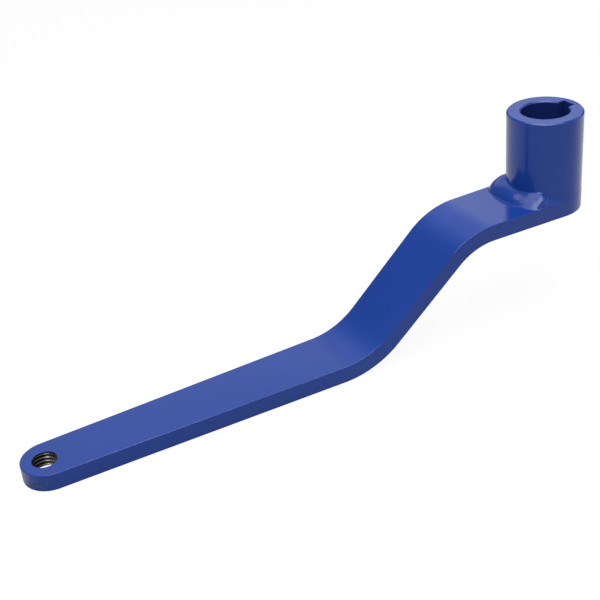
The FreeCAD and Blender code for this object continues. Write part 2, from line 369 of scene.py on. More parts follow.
@dataclass
class Graph:
    """A node tree, with short ways to add and join its nodes.

    Where a value is an object, it is a number, a vector or a colour, or another node's output.
    """

    tree: Group

    def add(self, kind: str, **settings: object) -> Node:
        """Add a node and set its properties.

        Args:
            kind: the node's type.
            settings: its properties.

        Returns:
            The new node.
        """
        node = self.tree.nodes.new(kind)
        for name, value in settings.items():
            setattr(node, name, value)
        return node

    def put(self, target: Socket, value: object) -> None:
        """Set an input to a value, or join it to another node's output.

        Args:
            target: the input.
            value: the value or the output.
        """
        if isinstance(value, bpy.types.NodeSocket):
            self.tree.links.new(value, target)
        else:
            target.default_value = value

    def feed(self, node: Node, **values: object) -> Node:
        """Set some of a node's inputs.

        Args:
            node: the node whose inputs are set.
            values: what goes in, under the inputs' names with spaces written as underscores.

        Returns:
            The same node.
        """
        for name, value in values.items():
            self.put(node.inputs[name.replace("_", " ")], value)
        return node

    def chain(self, node: Node, *terms: object) -> Node:
        """Set a node's first inputs in their order.

        Args:
            node: the node whose inputs are set.
            terms: what goes in.

        Returns:
            The same node.
        """
        for target, term in zip(node.inputs, terms):
            self.put(target, term)
        return node

    def calc(self, operation: str, *terms: object) -> Socket:
        """Add a Math node on one to three terms and give its output."""
        return self.chain(self.add("ShaderNodeMath", operation=operation), *terms).outputs[0]

    def vector(self, operation: str, *terms: object) -> Node:
        """Add a Vector Math node on one or two terms."""
        return self.chain(self.add("ShaderNodeVectorMath", operation=operation), *terms)

    def parts(self, place: Socket) -> bpy.types.NodeOutputs:
        """Split a place or a direction into its outputs X, Y and Z."""
        return self.feed(self.add("ShaderNodeSeparateXYZ"), Vector=place).outputs

    def coordinates(self, kind: Coordinates) -> Socket:
        """The place on the piece, in metres, or the direction from the scene's middle."""
        return self.add("ShaderNodeTexCoord").outputs[kind.value]

    def rescale(
        self, value: Socket, start: float, end: float, low: object, high: object,
        smooth: bool = False,
    ) -> Socket:
        """Take a value from start..end to low..high.

        Args:
            value: the output to take.
            start: the value that becomes low.
            end: the value that becomes high.
            low: the result at the start.
            high: the result at the end.
            smooth: whether the result eases in and out.

        Returns:
            The new value's output.
        """
        easing = "SMOOTHSTEP" if smooth else "LINEAR"
        node = self.add("ShaderNodeMapRange", interpolation_type=easing)
        self.feed(node, Value=value, From_Min=start, From_Max=end, To_Min=low, To_Max=high)
        return node.outputs["Result"]

    def noise(self, place: Socket, scale: object, detail: float) -> Socket:
        """Noise from about 0 to 1.

        Args:
            place: where it is read, in metres.
            scale: its waves per metre.
            detail: how many finer octaves it has.

        Returns:
            The noise's output.
        """
        node = self.add("ShaderNodeTexNoise", noise_dimensions="3D")
        self.feed(node, Vector=place, Scale=scale, Detail=detail)
        return node.outputs[0]

    def stretch(self, place: Socket, scale: Point) -> Socket:
        """Scale a place along X, Y and Z."""
        node = self.feed(self.add("ShaderNodeMapping"), Vector=place, Scale=scale)
        return node.outputs["Vector"]

    def blend(self, share: Socket, first: object, second: object) -> Socket:
        """Mix two colours.

        Args:
            share: the second colour's share.
            first: the first colour.
            second: the second colour.

        Returns:
            The mixed colour's output.
        """
        node = self.add("ShaderNodeMix", data_type="RGBA")
        self.put(node.inputs[0], share)
        colours = [socket for socket in node.inputs if socket.type == "RGBA"]
        for target, colour in zip(colours, (first, second)):
            self.put(target, colour)
        return next(socket for socket in node.outputs if socket.type == "RGBA")

    def effect(self, group: Group, place: Socket, **values: object) -> Socket:
        """Place one of the shared effects, with its own values, and give its output."""
        node = self.add("ShaderNodeGroup", node_tree=group)
        return self.feed(node, Coordinate=place, **values).outputs[0]

    def bump(self, height: Socket) -> Socket:
        """Turn a height in metres into a normal."""
        node = self.feed(self.add("ShaderNodeBump"), Strength=1.0, Distance=1.0, Height=height)
        return node.outputs["Normal"]

    def matt(self, tone: float) -> Socket:
        """A matt grey shader of one tone."""
        shader = self.add("ShaderNodeBsdfDiffuse")
        return self.feed(shader, Color=(tone, tone, tone, 1.0)).outputs[0]

    def glow(self, kind: Glow, strength: object) -> Socket:
        """A white shader that gives light of a strength."""
        return self.feed(self.add(kind.value), Color=WHITE, Strength=strength).outputs[0]

    def mix_shaders(self, share: Socket, first: Socket, second: Socket) -> Socket:
        """Mix two shaders by a share of the second."""
        return self.chain(self.add("ShaderNodeMixShader"), share, first, second).outputs[0]

    def mirrored(self, path: Node) -> Socket:
        """1 for a ray that gloss mirrors or glass lets through, and otherwise 0."""
        rays = path.outputs
        return self.calc("MAXIMUM", rays["Is Glossy Ray"], rays["Is Transmission Ray"])


class Effects:
    """The node groups that the finishes share. Each reads a place in metres and gives one value."""

    def __init__(self) -> None:
        """Build every group once."""
        self.drift = self.make_drift()
        self.orange_peel = self.make_orange_peel()
        self.cut_grain = self.make_cut_grain()
        self.weld_ripple = self.make_weld_ripple()
        self.specks = self.make_specks()

    @staticmethod
    def start(name: str, values: dict[str, float], output: str) -> tuple[Graph, Node, Node]:
        """Make a group with a Coordinate input, some number inputs and one number output.

        Args:
            name: the group's name.
            values: the number inputs and what they are when nothing is set.
            output: the output's name.

        Returns:
            The group's graph, its input node and its output node.
        """
        group = bpy.data.node_groups.new(name, "ShaderNodeTree")
        sockets = group.interface
        sockets.new_socket(name="Coordinate", in_out="INPUT", socket_type="NodeSocketVector")
        for label, value in values.items():
            socket = sockets.new_socket(name=label, in_out="INPUT", socket_type="NodeSocketFloat")
            socket.default_value = value
        sockets.new_socket(name=output, in_out="OUTPUT", socket_type="NodeSocketFloat")
        graph = Graph(group)
        return graph, graph.add("NodeGroupInput"), graph.add("NodeGroupOutput")

    def make_drift(self) -> Group:
        """Broad, slow differences over a painted surface, from Low to High.

        Returns:
            The group.
        """
        least, most = 0.3, 0.7
        values = {"Scale": 20.0, "Low": 0.0, "High": 1.0}
        graph, given, result = self.start("drift", values, "Value")
        cloud = graph.noise(given.outputs["Coordinate"], given.outputs["Scale"], detail=3.0)
        value = graph.rescale(cloud, least, most, given.outputs["Low"], given.outputs["High"])
        graph.feed(result, Value=value)
        return graph.tree

    def make_orange_peel(self) -> Group:
        """The shallow dimples of sprayed paint over broader ones, as a height.

        Returns:
            The group.
        """
        broader, deeper = 0.22, 2.5
        values = {"Scale": 700.0, "Depth": 2e-6}
        graph, given, result = self.start("orange_peel", values, "Height")
        place, scale = given.outputs["Coordinate"], given.outputs["Scale"]
        dimples = graph.noise(place, scale, detail=1.0)
        broad = graph.noise(place, graph.calc("MULTIPLY", scale, broader), detail=0.0)
        both = graph.calc("ADD", dimples, graph.calc("MULTIPLY", broad, deeper))
        graph.feed(result, Height=graph.calc("MULTIPLY", both, given.outputs["Depth"]))
        return graph.tree

    def make_cut_grain(self) -> Group:
        """The upright streaks and finer pits of a cut edge under its paint, as a height.

        Returns:
            The group.
        """
        long, short = (1.0, 1.0, 0.3), (1.0, 1.0, 0.8)
        finer, shallower = 1.9, 0.5
        values = {"Scale": 900.0, "Depth": 4e-5}
        graph, given, result = self.start("cut_grain", values, "Height")
        place, scale = given.outputs["Coordinate"], given.outputs["Scale"]
        streaks = graph.noise(graph.stretch(place, long), scale, detail=2.0)
        fine = graph.calc("MULTIPLY", scale, finer)
        pits = graph.noise(graph.stretch(place, short), fine, detail=1.0)
        both = graph.calc("ADD", streaks, graph.calc("MULTIPLY", pits, shallower))
        graph.feed(result, Height=graph.calc("MULTIPLY", both, given.outputs["Depth"]))
        return graph.tree

    def make_specks(self) -> Group:
        """Small upright patches where thin paint lets the cut metal show, as a mask.

        Returns:
            The group.
        """
        upright = (1.0, 1.0, 0.75)
        covered, bare = 0.46, 0.70
        values = {"Scale": 1500.0, "Share": 1.0}
        graph, given, result = self.start("specks", values, "Mask")
        place = graph.stretch(given.outputs["Coordinate"], upright)
        patches = graph.noise(place, given.outputs["Scale"], detail=2.0)
        mask = graph.rescale(patches, covered, bare, 0.0, given.outputs["Share"], smooth=True)
        graph.feed(result, Mask=mask)
        return graph.tree

    def make_weld_ripple(self) -> Group:
        """The soft overlapping scales of a weld laid round the upright axis, as a height.

        Returns:
            The group.
        """
        bead_radius, across = 0.023, 0.7
        values = {"Scale": 260.0, "Depth": 1e-4}
        graph, given, result = self.start("weld_ripple", values, "Height")
        at = graph.parts(given.outputs["Coordinate"])
        turn = graph.calc("ARCTAN2", at["Y"], at["X"])
        squares = (graph.calc("POWER", at["X"], 2.0), graph.calc("POWER", at["Y"], 2.0))
        out = graph.calc("SQRT", graph.calc("ADD", *squares))
        unrolled = graph.feed(
            graph.add("ShaderNodeCombineXYZ"), X=graph.calc("MULTIPLY", turn, bead_radius),
            Y=graph.calc("MULTIPLY", out, across), Z=graph.calc("MULTIPLY", at["Z"], across),
        )
        scales = graph.noise(unrolled.outputs["Vector"], given.outputs["Scale"], detail=1.0)
        graph.feed(result, Height=graph.calc("MULTIPLY", scales, given.outputs["Depth"]))
        return graph.tree


def start_material(name: str) -> tuple[Material, Graph]:
    """Make a material with nodes.

    Args:
        name: the material's name.

    Returns:
        The material and its graph.
    """
    material = bpy.data.materials.new(name)
    material.use_nodes = True
    return material, Graph(material.node_tree)


@dataclass(frozen=True)
class BluePaint:
    """Semi-gloss blue enamel. A depth is in metres, and one of nought leaves that relief out."""

    name: str
    light: Colour = (0.0125, 0.0585, 0.343, 1.0)
    dark: Colour = (0.0100, 0.0498, 0.310, 1.0)
    bare: Colour = (0.10, 0.135, 0.32, 1.0)
    tone_scale: float = 26.0
    roughness: float = 0.13
    roughness_drift: float = 0.05
    roughness_scale: float = 55.0
    ior: float = 1.5
    peel_depth: float = 2.0e-6
    ripple_depth: float = 0.0
    grain_depth: float = 0.0
    grain_from_x: float = 0.291
    grain_to_x: float = 0.300
    grain_least: float = 0.12

    def make(self, effects: Effects) -> Material:
        """Build the material.

        Args:
            effects: the shared node groups.

        Returns:
            The new material.
        """
        material, graph = start_material(self.name)
        place = graph.coordinates(Coordinates.PIECE)
        tone = graph.effect(effects.drift, place, Scale=self.tone_scale)
        colour = graph.blend(tone, self.dark, self.light)
        if self.grain_depth:
            specks = graph.effect(effects.specks, place, Share=self.towards_end(graph, place))
            colour = graph.blend(specks, colour, self.bare)
        haze = graph.effect(
            effects.drift, place, Scale=self.roughness_scale, Low=self.roughness,
            High=self.roughness + self.roughness_drift,
        )
        graph.feed(
            graph.tree.nodes["Principled BSDF"], Base_Color=colour, Roughness=haze, IOR=self.ior,
            Normal=self.relief(graph, effects, place),
        )
        return material

    def relief(self, graph: Graph, effects: Effects, place: Socket) -> Socket:
        """Add up the heights of this finish and turn them into a normal.

        Args:
            graph: the material's graph.
            effects: the shared node groups.
            place: the place on the piece.

        Returns:
            The normal.
        """
        height = graph.effect(effects.orange_peel, place, Depth=self.peel_depth)
        if self.ripple_depth:
            ripple = graph.effect(effects.weld_ripple, place, Depth=self.ripple_depth)
            height = graph.calc("ADD", height, ripple)
        if self.grain_depth:
            grain = graph.effect(effects.cut_grain, place, Depth=self.grain_depth)
            share = graph.calc("ADD", self.towards_end(graph, place), self.grain_least)
            height = graph.calc("ADD", height, graph.calc("MULTIPLY", grain, share))
        return graph.bump(height)

    def towards_end(self, graph: Graph, place: Socket) -> Socket:
        """A share that grows from 0 to 1 towards the tip of the grip end."""
        along = graph.parts(place)["X"]
        return graph.rescale(along, self.grain_from_x, self.grain_to_x, 0.0, 1.0, smooth=True)


@dataclass(frozen=True)
class BareThread:
    """Freshly tapped steel, painted shade makes it near black on the side away from the hub."""

    name: str = "tapped_steel"
    light: Colour = (0.50, 0.48, 0.46, 1.0)
    dark: Colour = (0.16, 0.15, 0.145, 1.0)
    # painted shade: the near-black colour laid on the thread's shaded side
    painted_shade: Colour = (0.022, 0.021, 0.020, 1.0)
    tone_scale: float = 420.0
    hole: Point = (0.2915, 0.0, 0.0)
    shaded_side: Point = (0.77, -0.64, 0.0)
    shade_ramp: Ramp = (0.0002, 0.0042, 0.0, 0.93)
    roughness: float = 0.30
    roughness_drift: float = 0.18
    roughness_scale: float = 600.0
    peel_scale: float = 2600.0
    peel_depth: float = 1.2e-5

    def make(self, effects: Effects) -> Material:
        """Build the material.

        Args:
            effects: the shared node groups.

        Returns:
            The new material.
        """
        material, graph = start_material(self.name)
        place = graph.coordinates(Coordinates.PIECE)
        tone = graph.effect(effects.drift, place, Scale=self.tone_scale)
        colour = graph.blend(tone, self.dark, self.light)
        # painted shade: the steel darkens towards the side away from the hub
        colour = graph.blend(self.painted_shade_share(graph, place), colour, self.painted_shade)
        haze = graph.effect(
            effects.drift, place, Scale=self.roughness_scale, Low=self.roughness,
            High=self.roughness + self.roughness_drift,
        )
        peel = graph.effect(
            effects.orange_peel, place, Scale=self.peel_scale, Depth=self.peel_depth
        )
        graph.feed(
            graph.tree.nodes["Principled BSDF"], Base_Color=colour, Roughness=haze, Metallic=1.0,
            Normal=graph.bump(peel),
        )
        return material

    def painted_shade_share(self, graph: Graph, place: Socket) -> Socket:
        """How strong the painted shade is, growing from the hole's axis to its shaded side.

        Args:
            graph: the material's graph.
            place: the place on the piece.

        Returns:
            The painted shade's share.
        """
        from_axis = graph.vector("SUBTRACT", place, self.hole).outputs["Vector"]
        along = graph.vector("DOT_PRODUCT", from_axis, self.shaded_side).outputs["Value"]
        return graph.rescale(along, *self.shade_ramp, smooth=True)


class Finishes:
    """Every finish of the object's own pieces."""

    def __init__(self, effects: Effects) -> None:
        """Make each material once.

        Args:
            effects: the shared node groups.
        """
        self.paint = BluePaint("blue_paint").make(effects)
        self.thread = BareThread().make(effects)
        self.cut_end = BluePaint("blue_paint_on_cut_end", grain_depth=2.4e-4).make(effects)
        # painted shade: a darker blue on the bore's walls stands in for the shade inside the hollow
        self.bore = BluePaint(
            "blue_paint_with_painted_shade_in_bore", light=(0.0105, 0.031, 0.200, 1.0),
            dark=(0.0085, 0.026, 0.160, 1.0), roughness=0.35,
        ).make(effects)
        self.weld = BluePaint("blue_paint_on_weld", ripple_depth=2e-5).make(effects)


@dataclass(frozen=True)
class KeyedBore:
    """The bore and its keyway, which run through hub and bar alike. Lengths are in millimetres.

    A wall's face has its middle within the spare past the keyway's floor, and the upright part of
    its normal is under the limit.
    """

    radius: float = 12.5
    chamfer: float = 0.8
    key_half: float = 4.0
    key_floor: float = 15.8
    wall_spare: float = 0.6
    wall_limit: float = 0.3

    def is_wall(self, face: Face) -> bool:
        """Whether a face is part of the bore's or the keyway's upright wall.

        Args:
            face: a face of the hub or the bar.

        Returns:
            Whether it lies inside and stands upright.
        """
        centre = face.calc_center_median()
        inside = math.hypot(centre.x, centre.y) < (self.key_floor + self.wall_spare) * MM
        return inside and abs(face.normal.z) < self.wall_limit


@dataclass
class Bar:
    """The joggled flat bar. Lengths are in millimetres; the hub stands on it at zero height.

    The spare is how far a cutter or the untrimmed strip reaches past the finished bar. A face of
    the cut end has its middle within the depth of the end's rim, and the upright part of its normal
    is under the limit.
    """

    bore: KeyedBore = KeyedBore()
    thickness: float = 9.0
    hub_end_radius: float = 20.4
    hub_end_x: float = 0.4
    grip_end_radius: float = 13.5
    grip_end_x: float = 289.5
    grip_hole_x: float = 291.5
    edge_radius: float = 0.4
    edge_steps: int = 4
    edge_angle: float = 40.0
    shoulder_run: float = 47.0
    shoulder_radius: float = 37.0
    foot_radius: float = 45.5
    slope_angle: float = 40.5
    drop: float = 52.5
    spare: float = 12.0
    bend_steps: int = 36
    end_sides: int = 360
    bore_sides: int = 192
    straight_angle: float = 0.01
    smooth_angle: float = 30.0
    cut_end_depth: float = 1.0
    cut_end_limit: float = 0.7

    def build(self) -> Piece:
        """Bend the strip, trim it to its plan, round its edges and cut its bore and keyway.

        Returns:
            The bar's object.
        """
        bar = self.bend_strip()
        combine(bar, self.plan_prism(), Keep.INSIDE)
        apply_modifier(
            bar, "BEVEL", width=self.edge_radius * MM, segments=self.edge_steps,
            limit_method="ANGLE", angle_limit=math.radians(self.edge_angle),
            miter_outer="MITER_SHARP",
        )
        combine(bar, self.bore_cutter(), Keep.OUTSIDE)
        combine(bar, self.keyway_cutter(), Keep.OUTSIDE)
        return bar

    def bend_strip(self) -> Piece:
        """Run the strip's section along the two flats, the slope and the bends between them.

        Returns:
            The strip's object, wider and longer than the bar.
        """
        tilt = math.radians(self.slope_angle)
        bends = self.shoulder_radius + self.foot_radius
        slope_length = (self.drop - bends * (1 - math.cos(tilt))) / math.sin(tilt)
        slope_run = slope_length * math.cos(tilt)
        foot_x = self.shoulder_run + bends * math.sin(tilt) + slope_run
        middle = -self.thickness / 2
        back = -self.hub_end_radius - self.spare
        width = 2 * (self.hub_end_radius + self.spare)
        shoulder_centre = (self.shoulder_run, 0.0, middle - self.shoulder_radius)
        foot_centre = (foot_x, 0.0, middle - self.drop + self.foot_radius)
        strip = add_square("bar")
        with editing(strip):
            widen((self.thickness, width, 1.0))
            bpy.ops.transform.rotate(value=math.pi / 2, orient_axis="Y", center_override=ORIGIN)
            move((back, 0.0, middle))
            extrude((self.shoulder_run - back, 0.0, 0.0))
            spin(self.slope_angle, self.bend_steps, shoulder_centre, Axis.Y)
            extrude((slope_run, 0.0, -slope_length * math.sin(tilt)))
            spin(-self.slope_angle, self.bend_steps, foot_centre, Axis.Y)
            extrude((self.grip_hole_x + self.grip_end_radius + self.spare - foot_x, 0.0, 0.0))
            close_shell()
        return strip

    def plan_prism(self) -> Piece:
        """Raise an upright prism on the bar's plan, which is the hull of its two round ends.

        Returns:
            The prism's object.
        """
        low, sides = -self.drop - self.thickness - self.spare, self.end_sides
        hub_end = (self.hub_end_x, 0.0, 0.0)
        grip_end = (self.grip_end_x, 0.0, 0.0)
        prism = add_rod("plan", self.hub_end_radius, low, self.spare, sides, hub_end)
        other = add_rod("other_end", self.grip_end_radius, low, self.spare, sides, grip_end)
        activate(prism)
        other.select_set(True)
        bpy.ops.object.join()
        with editing(prism):
            bpy.ops.mesh.convex_hull()
            bpy.ops.mesh.dissolve_limited(angle_limit=math.radians(self.straight_angle))
            close_shell()
        return prism

    def bore_cutter(self) -> Piece:
        """Make the bore's plug, widened under the bar into the mouth's chamfer.

        Returns:
            The plug's object.
        """
        low = -self.thickness + self.bore.chamfer
        plug = add_rod("plug", self.bore.radius, low, self.spare, self.bore_sides)
        flare = self.bore.chamfer + self.edge_radius
        widening = 1 + flare / self.bore.radius
        with editing(plug):
            pick(plug, Domain.FACES, faces_down)
            extrude((0.0, 0.0, -flare))
            widen((widening, widening, 1.0))
        return plug

    def keyway_cutter(self) -> Piece:
        """The block that the keyway takes out of the bar."""
        low = (-self.bore.key_floor, -self.bore.key_half, -self.thickness - self.spare)
        return add_block("key", low, (0.0, self.bore.key_half, self.spare))

    def is_cut_end(self, face: Face) -> bool:
        """Whether a face is part of the grip end's upright side.

        Args:
            face: a face of the bar.

        Returns:
            Whether it lies on the round end and stands upright.
        """
        centre = face.calc_center_median()
        reach = math.hypot(centre.x - self.grip_end_x * MM, centre.y)
        on_rim = reach > (self.grip_end_radius - self.cut_end_depth) * MM
        beyond = centre.x > self.grip_end_x * MM and on_rim
        return beyond and abs(face.normal.z) < self.cut_end_limit

    def dress(self, bar: Piece, finishes: Finishes, is_bare: Callable[[Face], bool]) -> None:
        """Shade the bar and give its faces their finishes.

        Args:
            bar: the bar's object.
            finishes: every finish of the object.
            is_bare: a test of the faces that the paint leaves bare.
        """
        shade(bar, self.smooth_angle)
        give_finish(bar, finishes.paint)
        give_finish_to_faces(bar, finishes.thread, is_bare)
        give_finish_to_faces(bar, finishes.cut_end, self.is_cut_end)
        # painted shade: the darker bore paint goes on the bore's and keyway's walls
        give_finish_to_faces(bar, finishes.bore, self.bore.is_wall)


@dataclass
class GripThread:
    """The coarse thread tapped through the bar's grip end. Lengths are in millimetres.

    The first crest starts under the bar's lower face, by a few turns and the offset given here.
    The run-out is how far the thread stays below the upper face, and the mouths are radii. A bare
    face's normal is under the limit, which leaves out the bar's own faces.
    """

    bar: Bar
    crest_radius: float = 6.0
    root_radius: float = 7.0
    upper_mouth: float = 6.2
    lower_mouth: float = 7.5
    pitch: float = 2.0
    crest_flat: float = 0.45
    root_flat: float = 0.25
    first_crest: float = 0.22
    turns_below: int = 3
    turns: int = 9
    run_out: float = 0.35
    cutter_spare: float = 1.0
    cone_overlap: float = 0.3
    bare_limit: float = 0.999
    sides: int = 96

    def cut(self, piece: Piece) -> None:
        """Tap the thread through the bar and countersink both of its mouths.

        Args:
            piece: the bar's object.
        """
        combine(piece, self.tap(), Keep.OUTSIDE)
        at = (self.bar.grip_hole_x, 0.0, 0.0)
        low, high = -self.bar.drop - self.cutter_spare, -self.bar.drop + self.cutter_spare
        entry = add_rod("entry", self.crest_radius, low, high, self.sides, at)
        combine(piece, entry, Keep.OUTSIDE)
        for mouth in Mouth:
            combine(piece, self.mouth_cone(mouth), Keep.OUTSIDE)

    def tap(self) -> Piece:
        """Turn a closed threaded plug that starts just under the upper face and comes out below.

        Returns:
            The plug's object.
        """
        under = -self.bar.drop - self.bar.thickness
        start = under - self.turns_below * self.pitch - self.first_crest
        flank = (self.pitch - self.crest_flat - self.root_flat) / 2
        x = self.bar.grip_hole_x
        corners = [
            (self.crest_radius, 0.0, 0.0),
            (self.crest_radius, 0.0, self.crest_flat),
            (self.root_radius, 0.0, self.crest_flat + flank),
            (self.root_radius, 0.0, self.crest_flat + flank + self.root_flat),
            (self.crest_radius, 0.0, self.pitch),
        ]
        plug = draw_chain("tap", corners, closed=False)
        apply_modifier(
            plug, "SCREW", axis="Z", angle=2 * math.pi, screw_offset=self.pitch * MM,
            iterations=self.turns, steps=self.sides, render_steps=self.sides,
            use_merge_vertices=True, merge_threshold=SLIVER,
        )
        plug.location = metres((x, 0.0, start))
        settle(plug)
        ends = ((under - self.pitch / 2, True), (-self.bar.drop - self.run_out, False))
        with editing(plug):
            for height, below in ends:
                bpy.ops.mesh.select_all(action="SELECT")
                bpy.ops.mesh.bisect(
                    plane_co=metres((x, 0.0, height)), plane_no=UP, use_fill=True,
                    clear_inner=below, clear_outer=not below,
                )
            close_shell()
        return plug

    def mouth_cone(self, mouth: Mouth) -> Piece:
        """Make the countersink of one mouth, as a cone that reaches past the bar's face.

        Args:
            mouth: the upper or the lower mouth.

        Returns:
            The cone's object.
        """
        past = self.cutter_spare
        above = mouth is Mouth.UPPER
        radius = self.upper_mouth if above else self.lower_mouth
        depth = radius - self.crest_radius + self.cone_overlap
        face = -self.bar.drop if above else -self.bar.drop - self.bar.thickness
        wide, narrow = radius + past, radius - depth
        first, last = (narrow, wide) if above else (wide, narrow)
        middle = face + (past - depth) / 2 * (1 if above else -1)
        deselect_all()
        bpy.ops.mesh.primitive_cone_add(
            vertices=self.sides, radius1=first * MM, radius2=last * MM, depth=(past + depth) * MM,
            location=metres((self.bar.grip_hole_x, 0.0, middle)),
        )
        cone = take_new("mouth")
        settle(cone)
        return cone

    def is_bare(self, face: Face) -> bool:
        """Whether a face lies inside the hole, below the broken edge of its upper mouth.

        Args:
            face: a face of the bar.

        Returns:
            Whether the paint leaves it bare.
        """
        centre = face.calc_center_median()
        reach = math.hypot(centre.x - self.bar.grip_hole_x * MM, centre.y)
        top = (-self.bar.drop - (self.upper_mouth - self.crest_radius)) * MM
        inside = reach < self.lower_mouth * MM and centre.z < top
        return inside and abs(face.normal.z) < self.bare_limit


@dataclass
class Hub:
    """The keyed tube that stands on the bar. Lengths are in millimetres.

    The skirt is the foot of the wall, which widens to the bar's own round end. Under it a lip
    reaches down over the bar's softened edge. The spares are how far the cutters reach past.
    """

    bar: Bar
    outer_radius: float = 20.0
    height: float = 44.5
    keyway_chamfer: float = 0.4
    keyway_spare: float = 5.0
    rim_spare: float = 1.0
    skirt_rise: float = 3.0
    skirt_steps: int = 6
    lip_width: float = 1.0
    ring_slack: float = 0.01
    edge_radius: float = 0.12
    edge_steps: int = 2
    sides: int = 256
    smooth_angle: float = 30.0

    def build(self) -> Piece:
        """Turn the tube from its section, blend its foot into the flanks and cut the keyway.

        Returns:
            The hub's object.
        """
        rise, steps, foot = self.skirt_rise, self.skirt_steps, -self.bar.edge_radius
        rings = [rise * (1 - step / steps) for step in range(steps + 1)]
        bore, chamfer = self.bar.bore.radius, self.bar.bore.chamfer
        section = [
            (bore, 0.0, 0.0),
            (bore, 0.0, self.height - chamfer),
            (bore + chamfer, 0.0, self.height),
            (self.outer_radius - chamfer, 0.0, self.height),
            (self.outer_radius, 0.0, self.height - chamfer),
            *[(self.outer_radius, 0.0, ring) for ring in rings],
            (self.outer_radius, 0.0, foot),
            (self.outer_radius - self.lip_width, 0.0, foot),
            (self.outer_radius - self.lip_width, 0.0, 0.0),
        ]
        tube = draw_chain("hub_tube", section, closed=True)
        with editing(tube):
            spin(360.0, self.sides, ORIGIN, Axis.Z)
            close_shell()
        self.blend_foot(tube, rings + [foot])
        self.round_mouths(tube)
        self.cut_keyway(tube)
        return tube

    def blend_foot(self, tube: Piece, rings: list[float]) -> None:
        """Widen the wall's lowest rings, step by step, out to the bar's own round end.

        Args:
            tube: the hub's object.
            rings: the rings' heights, from the top of the blend down.
        """
        top, bottom = rings[0], rings[-1]
        wall = (self.outer_radius - self.ring_slack) * MM
        with editing(tube):
            for ring in rings[1:]:
                share = (top - ring) / (top - bottom)
                eased = share * share * (3 - 2 * share)
                widened = 1 + (self.bar.hub_end_radius / self.outer_radius - 1) * eased

                def on_ring(vert: bmesh.types.BMVert, level: float = ring * MM) -> bool:
                    """Whether a vertex is on the outer wall at this height."""
                    outside = math.hypot(vert.co.x, vert.co.y) > wall
                    return outside and abs(vert.co.z - level) < SLIVER

                pick(tube, Domain.VERTS, on_ring)
                widen((widened, widened, 1.0))
                move((self.bar.hub_end_x * eased, 0.0, 0.0))

    def round_mouths(self, tube: Piece) -> None:
        """Soften the edges of both chamfers as paint does.

        Args:
            tube: the hub's object.
        """
        chamfer_foot = (self.height - self.bar.bore.chamfer) * MM - SLIVER

        def is_mouth_edge(edge: bmesh.types.BMEdge) -> bool:
            """Whether an edge is part of a level ring at a chamfer."""
            first, last = (vert.co for vert in edge.verts)
            return first.z > chamfer_foot and abs(first.z - last.z) < SLIVER

        with editing(tube):
            pick(tube, Domain.EDGES, is_mouth_edge)
            width = self.edge_radius * MM
            bpy.ops.mesh.bevel(offset=width, segments=self.edge_steps, affect="EDGES")

    def cut_keyway(self, tube: Piece) -> None:
        """Broach the keyway down the bore and break its rim at the hub's mouth.

        Args:
            tube: the hub's object.
        """
        bore, floor, half = self.bar.bore.radius, self.bar.bore.key_floor, self.bar.bore.key_half
        low = (-floor, -half, -self.keyway_spare)
        key = add_block("key", low, (0.0, half, self.height + self.keyway_spare))
        combine(tube, key, Keep.OUTSIDE)
        low = (-floor, -half, self.height - self.keyway_chamfer)
        rim = add_block("rim", low, (-bore, half, self.height + self.rim_spare))
        reach = self.keyway_chamfer + self.rim_spare
        with editing(rim):
            pick(rim, Domain.FACES, faces_up)
            longer = (floor - bore + reach) / (floor - bore)
            widen((longer, 1 + reach / half, 1.0), (-bore, 0.0, 0.0))
        combine(tube, rim, Keep.OUTSIDE)

    def dress(self, tube: Piece, finishes: Finishes) -> None:
        """Shade the hub and give its faces their finishes.

        Args:
            tube: the hub's object.
            finishes: every finish of the object.
        """
        shade(tube, self.smooth_angle)
        give_finish(tube, finishes.paint)
        # painted shade: the darker bore paint goes on the bore's and keyway's walls
        give_finish_to_faces(tube, finishes.bore, self.bar.bore.is_wall)


